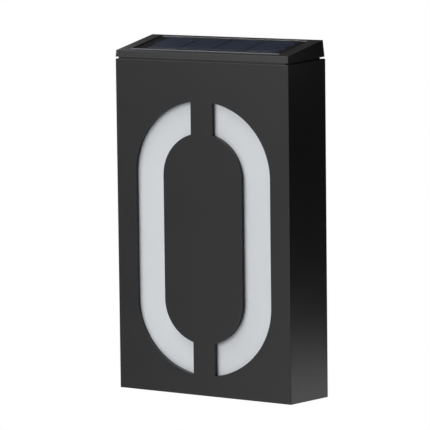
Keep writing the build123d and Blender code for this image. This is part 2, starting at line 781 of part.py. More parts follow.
# Solar head: a wedge whose top slopes to the front, recessed for the panel and hollow underneath
top_plane = Plane(
    origin=at(0, lamp_depth, head_base + head_front),
    x_dir=(1, 0, 0),
    z_dir=(0, -(head_back - head_front), lamp_depth),
)
recess_plane = top_plane.offset(-panel_recess)
recess_width = lamp_width - 2 * panel_side_border
recess_length = slope_length - panel_front_border - panel_back_border
recess_centre = (0, panel_front_border + recess_length / 2)
head_screw_x = spigot_width / 2 - head_post_inset
head_screw_depths = (spigot_depth + head_post_inset, spigot_front - head_post_inset)
head_screw_points = [(x, d) for x in (-head_screw_x, head_screw_x) for d in head_screw_depths]
rim_gap = shadow_gap * cos(radians(rim_draft))
head_bite = core_height(head_screw_depths[1]) + 2 * panel_floor / 3
solar_lead_x = control_x + control_width / 2 - solar_lead_inset
solar_lead_points = [(solar_lead_x, spigot_middle + ahead) for ahead in solar_lead_offsets]

with BuildPart() as solar_cap:
    extrude(plan(level(head_base), head_flare), amount=head_back + edge_round, taper=head_draft)
    split(bisect_by=top_plane, keep=Keep.BOTTOM)
    split(bisect_by=rim_plane.offset(rim_gap), keep=Keep.TOP)
    upright = solar_cap.edges().filter_by(lambda edge: abs(edge.tangent_at(0.5).Z) > 0.9)
    fillet(upright, edge_round)
    fillet(solar_cap.faces().sort_by(Axis.Z)[-1].edges(), edge_round)

    # level seat for the battery tray, and the recess for the panel
    seat_height = rim_rise + panel_floor
    slab(below(head_base), (0, spigot_middle), spigot_width, spigot_thickness, -seat_height)
    pocket(recess_plane, recess_centre, recess_width, recess_length, 2 * panel_recess)

    # hollow above the battery tray, with its ceiling parallel to the panel, and a second one behind it
    tray_hollow = (spigot_depth + thin_wall, spigot_front - thin_wall, spigot_width / 2 - thin_wall)
    rear_hollow = (rear_core_depth, rear_core_depth + rear_core_width, recess_width / 2)
    for near, far, half in (tray_hollow, rear_hollow):
        with BuildSketch(side(0)) as core:
            with BuildLine():
                Polyline(
                    (near, head_base),
                    (far, head_base),
                    (far, head_base + core_height(far)),
                    (near, head_base + core_height(near)),
                    close=True,
                )
            make_face()
        extrude(core.sketch, amount=half, both=True, mode=Mode.SUBTRACT)

    # bosses that take the four head screws
    for x, depth in head_screw_points:
        boss_height = core_height(depth) + panel_floor / 2
        rods(below(head_base), [(x, depth)], head_boss_radius, -boss_height)
    bores(below(head_base), head_screw_points, screw_radius + thread_gap, -head_bite)
    bores(below(head_base), solar_lead_points, lead_hole_radius, -head_back)
solar_cap.part.label = "solar_cap"
export_step(solar_cap.part, "parts/solar_cap.step")

with BuildPart() as head_seal:
    seal_far = (lamp_depth - wall_gap) / cos(radians(rim_draft)) - seal_back_inset
    seal_half = lamp_width / 2 - seal_side_inset
    seal_length = seal_far - seal_front_inset
    centre = (0, (seal_front_inset + seal_far) / 2)
    slab(rim_plane, centre, 2 * seal_half, seal_length, rim_gap, seal_corner)
    hole_width = 2 * (seal_half - seal_width)
    hole_length = seal_length - 2 * seal_width
    pocket(rim_plane, centre, hole_width, hole_length, rim_gap)
head_seal.part.label = "head_seal"
export_step(head_seal.part, "parts/head_seal.step")

# Battery tray: plugs into the body, and holds the cell at one end and the control board at the other
contact_far = battery_end + contact_thickness
control_posts = [(control_x + x, spigot_middle + depth) for x, depth in control_post_places]
battery_height = spigot_floor + battery_radius + thread_gap
plus_lead_depth = spigot_middle - battery_lead_setback
minus_lead_depth = spigot_front - thin_wall - minus_lead_clearance - lead_radius
lead_height = spigot_floor + battery_lead_height

with BuildPart() as battery_tray:
    centre = (0, spigot_middle)
    slab(below(spigot_low), centre, spigot_width, spigot_thickness, -spigot_height, spigot_corner)
    hollow_width = spigot_width - 2 * thin_wall
    hollow_depth = spigot_thickness - 2 * thin_wall
    pocket(below(spigot_floor), centre, hollow_width, hollow_depth, -spigot_height)
    rods(below(spigot_low), head_screw_points, head_post_radius, -spigot_height)
    partition_height = contact_height + thin_wall
    for x in (battery_contact_start - thin_wall / 2, contact_far + thin_wall / 2):
        slab(below(spigot_floor), (x, spigot_middle), thin_wall, hollow_depth, -partition_height)
    rods(below(spigot_floor), control_posts, control_post_radius, thin_wall - control_height)
    bores(below(spigot_low), head_screw_points, screw_radius + screw_gap, -spigot_height)
    bores(below(spigot_low), head_screw_points, screw_head_radius + screw_gap, -head_screw_seat)
    bores(below(control_low), control_posts, small_screw_radius + thread_gap, control_post_bore)
    bores(below(spigot_low), stud_points, stud_radius + thread_gap, -thin_wall)
    bores(below(spigot_low), stud_points, stud_head_radius + thread_gap, -stud_head_height)
    exits = [(minus_lead_depth, lead_height), (plus_lead_depth, lead_height)]
    bores(side(contact_far + thin_wall), exits, lead_hole_radius, thin_wall)
battery_tray.part.label = "battery_tray"
export_step(battery_tray.part, "parts/battery_tray.step")

with BuildPart() as head_screws:
    points = [(x, -depth) for x, depth in head_screw_points]
    length = spigot_height - head_screw_seat + head_bite - thread_gap
    big_screws(level(spigot_low + head_screw_seat), points, length)
head_screws.part.label = "head_screws"
export_step(head_screws.part, "parts/head_screws.step")

# Battery: one round cell with a raised plus end, between two sheet contacts
with BuildPart() as battery:
    centre = (spigot_middle, battery_height)
    rods(side(battery_start), [centre], battery_radius, -battery_length)
    fillet(battery.edges().filter_by(GeomType.CIRCLE), battery_round)
    rods(side(battery_start + battery_length), [centre], nub_radius, -nub_length)
battery.part.label = "battery"
export_step(battery.part, "parts/battery.step")

with BuildPart() as battery_contacts:
    contact_middle = spigot_floor + contact_height / 2
    wide = spigot_thickness - 2 * thin_wall - fit_gap
    centre = (spigot_middle, contact_middle)
    slab(side(battery_contact_start), centre, wide, contact_height, -contact_thickness)
    slab(side(battery_end), centre, contact_width, contact_height, -contact_thickness)
battery_contacts.part.label = "battery_contacts"
export_step(battery_contacts.part, "parts/battery_contacts.step")

# Control board on its posts, with its parts, screws and studs
control_depth = spigot_thickness - 2 * thin_wall - control_gap
with BuildPart() as control_board:
    centre = (control_x, spigot_middle)
    slab(below(control_low), centre, control_width - control_gap, control_depth, -control_thickness)
    bores(below(control_low), control_posts, small_screw_radius + screw_gap, -control_thickness)
control_board.part.label = "control_board"
export_step(control_board.part, "parts/control_board.step")

# each component: its place from the board's middle, then its width, depth and height
chips = [((0.0, -2.0), 5.0, 4.0, 1.6), ((0.5, 6.0), 4.2, 2.6, 2.0)]
passives = [((x, 2.2), 2.0, 1.2, 0.6) for x in (-1.6, 1.6, 4.8)]
coil = ((6.5, -2.5), 5.0, 5.0, 3.0)
capacitor_place = (-7.0, -5.5)
capacitor_radius = 2.5
capacitor_height = 6.5
with BuildPart() as board_components:
    on_board = below(control_top)
    for (x, depth), width, length, height in chips + passives + [coil]:
        slab(on_board, (control_x + x, spigot_middle + depth), width, length, -height)
    capacitor_x = control_x + capacitor_place[0]
    capacitor_depth = spigot_middle + capacitor_place[1]
    rods(on_board, [(capacitor_x, capacitor_depth)], capacitor_radius, -capacitor_height)
board_components.part.label = "board_components"
export_step(board_components.part, "parts/board_components.step")

with BuildPart() as control_board_screws:
    small_screws(below(control_top), control_posts, control_screw_length)
control_board_screws.part.label = "control_board_screws"
export_step(control_board_screws.part, "parts/control_board_screws.step")

with BuildPart() as contact_studs:
    rods(below(spigot_low), stud_points, stud_head_radius, -stud_head_height)
    rods(below(spigot_low), stud_points, stud_radius, spigot_low - control_low)
contact_studs.part.label = "contact_studs"
export_step(contact_studs.part, "parts/contact_studs.step")

# Leads inside the head: two from the battery contacts, two down from the panel
lead_starts = [(battery_start, minus_lead_depth), (contact_far, plus_lead_depth)]
with BuildPart() as battery_leads:
    for (start_x, depth), inset in zip(lead_starts, battery_lead_insets):
        end_x = control_x - inset
        route = [
            at(start_x, depth, lead_height),
            at(end_x, depth, lead_height),
            at(end_x, depth, control_low),
        ]
        lead(route)
battery_leads.part.label = "battery_leads"
export_step(battery_leads.part, "parts/battery_leads.step")

with BuildPart() as solar_leads:
    rods(below(control_top), solar_lead_points, lead_radius, control_top - head_base - head_back)
    split(bisect_by=recess_plane, keep=Keep.BOTTOM)
solar_leads.part.label = "solar_leads"
export_step(solar_leads.part, "parts/solar_leads.step")

# Solar panel: backing sheet, four cells, two tinned tabs and a clear cover, laid in the recess
panel_width = recess_width - 2 * panel_gap
panel_length = recess_length - 2 * panel_gap
cell_plane = recess_plane.offset(substrate_thickness)
cell_pitch = (panel_width + cell_gap - 2 * cell_side_margin) / cell_count
cell_length = panel_length - cell_front_margin - cell_back_margin
cell_middle = recess_centre[1] + (cell_front_margin - cell_back_margin) / 2
cell_xs = [cell_shift + (i - (cell_count - 1) / 2) * cell_pitch for i in range(cell_count)]
cell_size = cell_pitch - cell_gap
tab_x = cell_xs[-1] + cell_size / 2 + tab_gap + tab_width / 2
tab_points = [(tab_x, cell_middle + sign * tab_spacing / 2) for sign in (-1, 1)]

with BuildPart() as solar_substrate:
    slab(recess_plane, recess_centre, panel_width, panel_length, substrate_thickness)
solar_substrate.part.label = "solar_substrate"
export_step(solar_substrate.part, "parts/solar_substrate.step")

with BuildPart() as solar_cells:
    for x in cell_xs:
        slab(cell_plane, (x, cell_middle), cell_size, cell_length, cell_thickness)
solar_cells.part.label = "solar_cells"
export_step(solar_cells.part, "parts/solar_cells.step")

with BuildPart() as solar_tabs:
    for point in tab_points:
        slab(cell_plane, point, tab_width, tab_length, cell_thickness)
solar_tabs.part.label = "solar_tabs"
export_step(solar_tabs.part, "parts/solar_tabs.step")

with BuildPart() as solar_cover:
    cover_plane = cell_plane.offset(cover_clearance)
    slab(cover_plane, recess_centre, panel_width, panel_length, cover_sheet_thickness)
    cell_pockets = [((x, cell_middle), cell_size, cell_length) for x in cell_xs]
    tab_pockets = [(point, tab_width, tab_length) for point in tab_points]
    room = 2 * cover_clearance
    for point, width, length in cell_pockets + tab_pockets:
        pocket(cover_plane, point, width + room, length + room, cell_thickness)
solar_cover.part.label = "solar_cover"
export_step(solar_cover.part, "parts/solar_cover.step")
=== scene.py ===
from math import atan2, cos, pi, radians, sin

import bpy
from mathutils import Matrix, Vector


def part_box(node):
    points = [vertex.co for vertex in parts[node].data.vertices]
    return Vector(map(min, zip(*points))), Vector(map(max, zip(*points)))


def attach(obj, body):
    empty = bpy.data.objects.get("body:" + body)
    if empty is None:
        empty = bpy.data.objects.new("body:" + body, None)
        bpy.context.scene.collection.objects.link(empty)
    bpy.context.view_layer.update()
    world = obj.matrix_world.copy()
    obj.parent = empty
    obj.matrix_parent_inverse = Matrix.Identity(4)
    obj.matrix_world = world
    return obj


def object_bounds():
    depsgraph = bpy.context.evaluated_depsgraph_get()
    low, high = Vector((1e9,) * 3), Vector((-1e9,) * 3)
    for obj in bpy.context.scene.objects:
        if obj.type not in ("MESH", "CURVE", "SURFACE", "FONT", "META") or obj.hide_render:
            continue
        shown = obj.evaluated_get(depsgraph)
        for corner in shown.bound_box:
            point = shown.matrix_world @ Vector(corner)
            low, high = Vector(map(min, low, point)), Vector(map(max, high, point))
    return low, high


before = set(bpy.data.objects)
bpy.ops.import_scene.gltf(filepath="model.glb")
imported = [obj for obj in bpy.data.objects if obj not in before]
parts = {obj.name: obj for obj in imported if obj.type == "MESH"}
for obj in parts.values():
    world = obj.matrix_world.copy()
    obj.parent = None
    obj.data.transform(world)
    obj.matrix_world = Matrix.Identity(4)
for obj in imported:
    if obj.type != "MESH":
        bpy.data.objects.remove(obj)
cad_low, cad_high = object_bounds()


# ---------------------------------------------------------------------------------------------
# Camera: a long lens, 33 degrees round to the right of the sign and 7 degrees above it, tilted by
# less than a degree, as the photograph was taken.
camera_azimuth = radians(33.45)
camera_elevation = radians(7.08)
camera_roll = radians(-0.677)
camera_place = (1.03316, -1.58906, 0.1838)
sensor_width = 36.0
camera_lens = 281.8

bpy.ops.object.camera_add(location=camera_place)
camera = bpy.context.object
camera.name = "camera"
turn_round = Matrix.Rotation(camera_azimuth, 3, "Z")
look_down = Matrix.Rotation(pi / 2 - camera_elevation, 3, "X")
tilt = Matrix.Rotation(camera_roll, 3, "Z")
camera.rotation_euler = (turn_round @ look_down @ tilt).to_euler()
camera.data.sensor_width = sensor_width
camera.data.lens = camera_lens
bpy.context.scene.camera = camera
bpy.context.scene.view_settings.view_transform = "Standard"


# ---------------------------------------------------------------------------------------------
# Studio: a round pale floor well below the sign, whose rim melts into the white surroundings, and
# soft boxes. The light comes from the front and above, so that the sign's right side stays dark.
def add_node(tree, kind, inputs=None, **settings):
    """Adds a shader node; an input is either a value or the output that feeds it."""
    made = tree.nodes.new(kind)
    for name, value in settings.items():
        setattr(made, name, value)
    for name, value in (inputs or {}).items():
        if isinstance(value, bpy.types.NodeSocket):
            tree.links.new(value, made.inputs[name])
        else:
            made.inputs[name].default_value = value
    return made


def own_place(tree):
    """A point's place in its object's own coordinates."""
    return add_node(tree, "ShaderNodeTexCoord").outputs["Object"]


def reach_along(tree, where, kept_axes):
    """Distance from the origin along the kept axes alone."""
    kept = add_node(tree, "ShaderNodeVectorMath", {0: where, 1: kept_axes}, operation="MULTIPLY")
    reach = add_node(tree, "ShaderNodeVectorMath", {0: kept.outputs["Vector"]}, operation="LENGTH")
    return reach.outputs["Value"]


def ramp(tree, value, start, end, low=0.0, high=1.0, **settings):
    """Maps one range of a value onto another, and holds it at the ends."""
    ranges = {"Value": value, "From Min": start, "From Max": end, "To Min": low, "To Max": high}
    return add_node(tree, "ShaderNodeMapRange", ranges, **settings).outputs["Result"]


def mix_colour(tree, factor, first, second):
    """Blends two colours; each is a tuple or the output that gives it."""
    blend = {"Factor": factor, "A": first, "B": second}
    return add_node(tree, "ShaderNodeMix", blend, data_type="RGBA").outputs["Result"]


floor_radius = 1.3
floor_height = cad_low.z - 0.35
floor_sides = 96
floor_rim = (0.45, 1.0)  # the rim fades between these shares of the radius
paper_rough = 0.75
paper_dark = (0.80, 0.80, 0.80, 1.0)
paper_light = (0.86, 0.86, 0.86, 1.0)
fibre_scale = 60.0
world_white = 1.0  # what the camera sees round the sign
world_fill = 0.022  # how strongly the surroundings light the sign

bpy.ops.object.select_all(action="DESELECT")
bpy.ops.mesh.primitive_circle_add(
    vertices=floor_sides, radius=floor_radius, fill_type="NGON", location=(0, 0, floor_height),
)
floor = bpy.context.object
floor.name = "floor"
bpy.ops.object.transform_apply(location=True)
floor_paper = bpy.data.materials.new("floor_paper")
floor_paper.use_nodes = True
tree = floor_paper.node_tree
paper = tree.nodes["Principled BSDF"]
paper.inputs["Roughness"].default_value = paper_rough
where = own_place(tree)
reach = reach_along(tree, where, (1.0, 1.0, 0.0))
fade_start, fade_end = (share * floor_radius for share in floor_rim)
fade = ramp(tree, reach, fade_start, fade_end, 1.0, 0.0, interpolation_type="SMOOTHSTEP")
fibre = add_node(tree, "ShaderNodeTexNoise", {"Vector": where, "Scale": fibre_scale, "Detail": 6.0})
shade = mix_colour(tree, fibre.outputs["Fac"], paper_dark, paper_light)
tree.links.new(shade, paper.inputs["Base Color"])
tree.links.new(fade, paper.inputs["Alpha"])
floor.data.materials.append(floor_paper)

world = bpy.data.worlds.new("studio")
bpy.context.scene.world = world
world.use_nodes = True
tree = world.node_tree
tree.nodes.clear()
path = add_node(tree, "ShaderNodeLightPath")
level = ramp(tree, path.outputs["Is Camera Ray"], 0.0, 1.0, world_fill, world_white)
sky = add_node(tree, "ShaderNodeBackground", {"Color": (1.0, 1.0, 1.0, 1.0), "Strength": level})
add_node(tree, "ShaderNodeOutputWorld", {"Surface": sky.outputs["Background"]})

middle = (0.0, -0.02, -0.05)
front_top = (0.02, -0.02, 0.03)
front_foot = (-0.01, -0.03, -0.14)
head_end = (-0.05, -0.02, 0.045)
side_top = (0.058, -0.02, 0.044)
side_foot = (0.0575, -0.02, -0.14)
soft_boxes = (  # name, place, what it points at, width, height and watts
    ("front_box", (-0.75, -1.5, 0.75), middle, 1.3, 1.1, 14.9),
    ("upper_card", (-0.08, -0.60, 0.12), front_top, 0.25, 0.3, 0.40),
    ("lower_card", (-0.20, -0.60, -0.31), front_foot, 0.25, 0.3, 0.35),
    ("top_box", (-0.45, -0.35, 1.3), middle, 0.9, 0.7, 11.6),
    ("head_card", (-0.16, 0.02, 0.10), head_end, 0.10, 0.08, 0.038),
    ("side_card", (0.168, 0.12, -0.203), side_foot, 0.13, 0.09, 0.063),
    ("head_side_card", (0.12, -0.01, 0.047), side_top, 0.05, 0.03, 0.004),
    ("rear_box", (-0.9, 1.6, -0.25), middle, 1.0, 0.8, 14.0),
    ("left_box", (-1.5, 0.1, 0.3), middle, 0.9, 0.9, 3.0),
)
for name, place, aim, width, height, watts in soft_boxes:
    bpy.ops.object.light_add(type="AREA", location=place)
    box = bpy.context.object
    box.name = name
    box.data.shape = "RECTANGLE"
    box.data.size = width
    box.data.size_y = height
    box.data.energy = watts
    box.rotation_euler = (Vector(aim) - Vector(place)).to_track_quat("-Z", "Y").to_euler()
    box.visible_camera = False


# ---------------------------------------------------------------------------------------------
# Housing, solar head frame and the strip in the gap between them: satin black mouldings with a fine
# spark-eroded grain. The edges are a little brighter, partly where handling has polished them and
# partly as a painted highlight along them. The top holds a trace of dust.
def number(tree, operation, first, second=0.0):
    """Works out one number from one or two others, as an output socket."""
    numbers = {0: first, 1: second}
    return add_node(tree, "ShaderNodeMath", numbers, operation=operation).outputs["Value"]


def noise(tree, where, millimetres, detail, rough=0.5):
    """Cloudy noise whose features have the given size."""
    scale = number(tree, "DIVIDE", 1000.0, millimetres)
    look = {"Vector": where, "Scale": scale, "Detail": detail, "Roughness": rough}
    return add_node(tree, "ShaderNodeTexNoise", look).outputs["Fac"]


def add_group(name, inputs, outputs):
    """Starts a shader node group and returns it with its input and output nodes."""
    group = bpy.data.node_groups.new(name, "ShaderNodeTree")
    for socket, value in inputs.items():
        made = group.interface.new_socket(socket, in_out="INPUT", socket_type="NodeSocketFloat")
        made.default_value = value
    for socket in outputs:
        group.interface.new_socket(socket, in_out="OUTPUT", socket_type="NodeSocketFloat")
    return group, group.nodes.new("NodeGroupInput"), group.nodes.new("NodeGroupOutput")


# Width and patch size of the lightened edges, which are wear and painted highlight in one.
rub_and_highlight_width = 0.5  # millimetres, as are the next four sizes
rub_and_highlight_patch = 2.5
dust_speck = 1.1
usual_grain = 0.4
usual_cloud = 12.0
edge_alike = (0.99, 0.82)  # how alike the plain and the rounded normal are, away from and at an edge
dust_slope = (0.5, 1.0)  # upward part of the normal where dust starts to lie and where it is full
dust_share = (0.42, 0.72)
dust_colour = (0.36, 0.34, 0.31, 1.0)

grain_group, inlet, outlet = add_group(
    "grain", {"Grain": usual_grain, "Cloud": usual_cloud}, ("Grain", "Cloud"),
)
where = own_place(grain_group)
fine = noise(grain_group, where, inlet.outputs["Grain"], 3.0, 0.6)
broad = noise(grain_group, where, inlet.outputs["Cloud"], 4.0, 0.55)
grain_group.links.new(fine, outlet.inputs["Grain"])
grain_group.links.new(broad, outlet.inputs["Cloud"])

# Edge mask, where the rounded normal departs from the plain one: it lightens edges as wear and as
# painted highlight.
edge_rub_and_highlight_group, inlet, outlet = add_group("edge_rub_and_highlight", {"Width": rub_and_highlight_width, "Patch": rub_and_highlight_patch}, ("Rub and highlight",))
edge_radius = number(edge_rub_and_highlight_group, "MULTIPLY", inlet.outputs["Width"], 0.001)
rounded = add_node(edge_rub_and_highlight_group, "ShaderNodeBevel", {"Radius": edge_radius}, samples=4)
plain = add_node(edge_rub_and_highlight_group, "ShaderNodeNewGeometry")
normals = {0: rounded.outputs["Normal"], 1: plain.outputs["Normal"]}
alike = add_node(edge_rub_and_highlight_group, "ShaderNodeVectorMath", normals, operation="DOT_PRODUCT")
patch = noise(edge_rub_and_highlight_group, own_place(edge_rub_and_highlight_group), inlet.outputs["Patch"], 4.0)
near = ramp(edge_rub_and_highlight_group, alike.outputs["Value"], *edge_alike)
edge_rub_and_highlight_group.links.new(number(edge_rub_and_highlight_group, "MULTIPLY", near, patch), outlet.inputs["Rub and highlight"])

dust_group, inlet, outlet = add_group("dust", {"Speck": dust_speck}, ("Dust",))
normal = add_node(dust_group, "ShaderNodeNewGeometry").outputs["Normal"]
facing = add_node(dust_group, "ShaderNodeSeparateXYZ", {"Vector": normal})
upward = ramp(dust_group, facing.outputs["Z"], *dust_slope)
specks = noise(dust_group, own_place(dust_group), inlet.outputs["Speck"], 6.0, 0.7)
gathered = ramp(dust_group, specks, *dust_share)
dust_group.links.new(number(dust_group, "MULTIPLY", upward, gathered), outlet.inputs["Dust"])


def shaded(colour, factor):
    """A colour made lighter or darker, with its alpha."""
    return (colour[0] * factor, colour[1] * factor, colour[2] * factor, 1.0)


def finish(
    slot, colour, rough, grain, depth, cloud=12.0, uneven=0.06,
    rub_and_highlight=0.0, rub_and_highlight_colour=None, dust=0.0, fixed=None,
):
    """Surface with a grain, cloudy colour and gloss, and lightened edges and dust where asked for.

    The grain's width and depth and the clouds' width are in millimetres. Uneven is the share by
    which the colour strays, rub_and_highlight and dust are how strongly they show, and fixed holds
    any other inputs of the shader. The lightened edges are partly wear and partly painted highlight.
    """
    made = bpy.data.materials.new(slot)
    made.use_nodes = True
    tree = made.node_tree
    shader = tree.nodes["Principled BSDF"]
    surface = add_node(tree, "ShaderNodeGroup", node_tree=grain_group)
    surface.inputs["Grain"].default_value = grain
    surface.inputs["Cloud"].default_value = cloud
    clouds = surface.outputs["Cloud"]
    colour_now = mix_colour(tree, clouds, shaded(colour, 1 - uneven), shaded(colour, 1 + uneven))
    if rub_and_highlight:
        edge = add_node(tree, "ShaderNodeGroup", node_tree=edge_rub_and_highlight_group)
        edge.inputs["Width"].default_value = rub_and_highlight_width
        edge.inputs["Patch"].default_value = rub_and_highlight_patch
        amount = ramp(tree, edge.outputs["Rub and highlight"], 0.0, 1.0, 0.0, rub_and_highlight)
        colour_now = mix_colour(tree, amount, colour_now, (*rub_and_highlight_colour, 1.0))
    if dust:
        film = add_node(tree, "ShaderNodeGroup", node_tree=dust_group)
        film.inputs["Speck"].default_value = dust_speck
        amount = ramp(tree, film.outputs["Dust"], 0.0, 1.0, 0.0, dust)
        colour_now = mix_colour(tree, amount, colour_now, dust_colour)
    tree.links.new(colour_now, shader.inputs["Base Color"])
    gloss = ramp(tree, clouds, 0.0, 1.0, rough * 0.9, rough * 1.1)
    tree.links.new(gloss, shader.inputs["Roughness"])
    relief = {"Height": surface.outputs["Grain"], "Distance": depth * 0.001}
    bump = add_node(tree, "ShaderNodeBump", relief)
    tree.links.new(bump.outputs["Normal"], shader.inputs["Normal"])
    for name, value in (fixed or {}).items():
        shader.inputs[name].default_value = value
    return made


def dress(made, *names):
    """Gives CAD nodes a finish."""
    for name in names:
        parts[name].data.materials.clear()
        parts[name].data.materials.append(made)


# The lighter colour on the edges is partly wear and partly a painted highlight along them.
satin_black = finish(
    "satin_black", (0.016, 0.0162, 0.018), rough=0.42, grain=0.35, depth=0.010, cloud=18.0,
    rub_and_highlight=0.5, rub_and_highlight_colour=(0.075, 0.077, 0.085), dust=0.05,
)
dress(satin_black, "housing", "solar_cap", "head_seal")


# ---------------------------------------------------------------------------------------------
# Diffuser: a 2 mm sheet of opal acrylic, pressed against the back of the front wall. It scatters
# light inside, and is faintly cloudy.
opal_scatter = {
    "Subsurface Weight": 0.25, "Subsurface Scale": 0.002, "Subsurface Radius": (1.0, 1.0, 1.0),
    "IOR": 1.49,
}
opal = finish(
    "opal", (0.86, 0.89, 0.92), rough=0.38, grain=0.25, depth=0.002, cloud=9.0, uneven=0.015,
    fixed=opal_scatter,
)
dress(opal, "diffuser")


# ---------------------------------------------------------------------------------------------
# Reflector tray: a white moulded tray that throws the light forward, and shows slight flow marks.
white_tray = finish(
    "white_tray", (0.80, 0.80, 0.785), rough=0.45, grain=0.5, depth=0.006, cloud=25.0, uneven=0.02,
)
dress(white_tray, "reflector_tray")


# ---------------------------------------------------------------------------------------------
# Light boards: white solder mask over copper tracks, which show as low ridges along the strip.
def axes(tree, where):
    """The three coordinates of a place."""
    return add_node(tree, "ShaderNodeSeparateXYZ", {"Vector": where}).outputs


track_pitch = 0.0016
track_edge = (0.45, 0.6)  # a ridge's slope lies between these shares of the pitch
track_rise = 0.00004
white_board = finish(
    "white_board", (0.78, 0.79, 0.76), rough=0.32, grain=0.3, depth=0.002, cloud=6.0, uneven=0.02,
)
tree = white_board.node_tree
place = axes(tree, own_place(tree))
across = number(tree, "PINGPONG", place["X"], track_pitch)
track = ramp(tree, across, *(share * track_pitch for share in track_edge))
bump = add_node(tree, "ShaderNodeBump", {"Height": track, "Distance": track_rise})
tree.links.new(bump.outputs["Normal"], tree.nodes["Principled BSDF"].inputs["Normal"])
dress(white_board, "led_board_left", "led_board_right")


# ---------------------------------------------------------------------------------------------
# Light chips: white ceramic bodies with a round yellow phosphor window in the middle of each.
def paint(made, factor, colour):
    """Lays a colour over a finish wherever the factor is one."""
    tree = made.node_tree
    base = tree.nodes["Principled BSDF"].inputs["Base Color"]
    under = base.links[0].from_socket
    tree.links.new(mix_colour(tree, factor, under, (*colour, 1.0)), base)


chip_low, chip_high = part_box("led_chips")
chip_side = 0.0035
chips_per_board = 4
chip_pitch = (chip_high.z - chip_low.z - chip_side) / (chips_per_board - 1)
phosphor_radius = 0.0013
phosphor_core = 0.92  # share of the radius inside its soft rim
phosphor = (0.80, 0.62, 0.13)
led = finish(
    "led", (0.82, 0.82, 0.79), rough=0.4, grain=0.2, depth=0.001, cloud=4.0, uneven=0.02,
)
tree = led.node_tree
place = axes(tree, own_place(tree))
sideways = number(tree, "ABSOLUTE", place["X"])
sideways = number(tree, "SUBTRACT", sideways, chip_high.x - chip_side / 2)
first_cell = chip_low.z + chip_side / 2 - chip_pitch / 2
upward = number(tree, "SUBTRACT", place["Z"], first_cell)
upward = number(tree, "FLOORED_MODULO", upward, chip_pitch)
upward = number(tree, "SUBTRACT", upward, chip_pitch / 2)
offset = add_node(tree, "ShaderNodeCombineXYZ", {"X": sideways, "Z": upward})
reach = add_node(tree, "ShaderNodeVectorMath", {0: offset.outputs["Vector"]}, operation="LENGTH")
window = ramp(tree, reach.outputs["Value"], phosphor_radius, phosphor_radius * phosphor_core)
paint(led, window, phosphor)
dress(led, "led_chips")


# ---------------------------------------------------------------------------------------------
# Screws: cross-drive pan heads. Those inside are zinc plated and slightly mottled, and those of the
# back cover are stainless.
metal = {"Metallic": 1.0}
bare_metal = (0.8, 0.8, 0.8)
zinc = finish(
    "zinc_screw", (0.60, 0.60, 0.585), rough=0.34, grain=0.15, depth=0.002, cloud=1.4, uneven=0.12,
    rub_and_highlight=0.3, rub_and_highlight_colour=bare_metal, fixed=metal,
)
dress(
    zinc, "tray_screws", "led_board_screws", "contact_block_screws",
    "switch_screws", "head_screws", "control_board_screws",
)
stainless = finish(
    "stainless_screw", (0.58, 0.58, 0.59), rough=0.27, grain=0.12, depth=0.0015, cloud=1.0,
    uneven=0.08, rub_and_highlight=0.3, rub_and_highlight_colour=bare_metal, fixed=metal,
)
dress(stainless, "back_cover_screws")


# ---------------------------------------------------------------------------------------------
# Contact block, switch body and battery tray: dark grey glass-filled nylon, with a coarser grain
# and pale flow lines.
dark_moulding = finish(
    "dark_moulding", (0.040, 0.040, 0.043), rough=0.55, grain=0.5, depth=0.012, cloud=8.0,
    uneven=0.18, rub_and_highlight=0.4, rub_and_highlight_colour=(0.10, 0.10, 0.105),
)
dress(dark_moulding, "contact_block", "switch_body", "battery_tray")


# ---------------------------------------------------------------------------------------------
# Spring pins and studs: turned brass with a thin gold plating, slightly mottled.
brass = finish(
    "brass", (0.78, 0.56, 0.24), rough=0.26, grain=0.12, depth=0.001, cloud=1.6, uneven=0.10,
    fixed=metal,
)
dress(brass, "contact_pins", "contact_studs")


# ---------------------------------------------------------------------------------------------
# Leads: each pair has one red and one black lead in soft PVC. The split between the two lies
# midway between them, and follows their bends.
lead_red = (0.40, 0.030, 0.024)
lead_black = (0.018, 0.018, 0.019)
pair_middle = 0.0026  # from the outer side of a pair to the middle between its leads
slant_low = -0.125
slant_high = -0.114  # the switch leads slant between these heights
pins_middle = 0.021  # midway between the two pins, where the leads start


def lead_pair(name, measure):
    """PVC finish that is black where a measure of the place is above zero, and red elsewhere."""
    made = finish(
        "lead_" + name, lead_red, rough=0.38, grain=0.4, depth=0.004, cloud=3.0, uneven=0.10,
    )
    tree = made.node_tree
    measured = measure(tree, axes(tree, own_place(tree)))
    paint(made, number(tree, "GREATER_THAN", measured), lead_black)
    dress(made, name)


def led_measure(tree, place):
    """The red lead runs outside the bend, below and to the left of the black one."""
    low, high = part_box("led_leads")
    right = number(tree, "SUBTRACT", place["X"], low.x + pair_middle)
    above = number(tree, "SUBTRACT", place["Z"], low.z + pair_middle)
    return number(tree, "MINIMUM", right, above)


def switch_measure(tree, place):
    """The black lead stays to the right of the line midway between the two."""
    line = ramp(tree, place["Z"], slant_low, slant_high, 0.0, pins_middle)
    return number(tree, "SUBTRACT", place["X"], line)


for name, axis in (("link_leads", "Z"), ("battery_leads", "Y"), ("solar_leads", "Y")):
    low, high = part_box(name)
    split = (low["XYZ".index(axis)] + high["XYZ".index(axis)]) / 2
    lead_pair(name, lambda tree, place: number(tree, "SUBTRACT", place[axis], split))
lead_pair("led_leads", led_measure)
lead_pair("switch_leads", switch_measure)


# ---------------------------------------------------------------------------------------------
# Lead clips and switch plunger: natural nylon, milky and slightly waxy.
nylon_scatter = {
    "Subsurface Weight": 0.3, "Subsurface Scale": 0.0015, "Subsurface Radius": (1.0, 1.0, 0.8),
}
nylon = finish(
    "natural_nylon", (0.70, 0.68, 0.60), rough=0.40, grain=0.4, depth=0.005, cloud=5.0, uneven=0.04,
    fixed=nylon_scatter,
)
dress(nylon, "lead_clips", "switch_plunger")


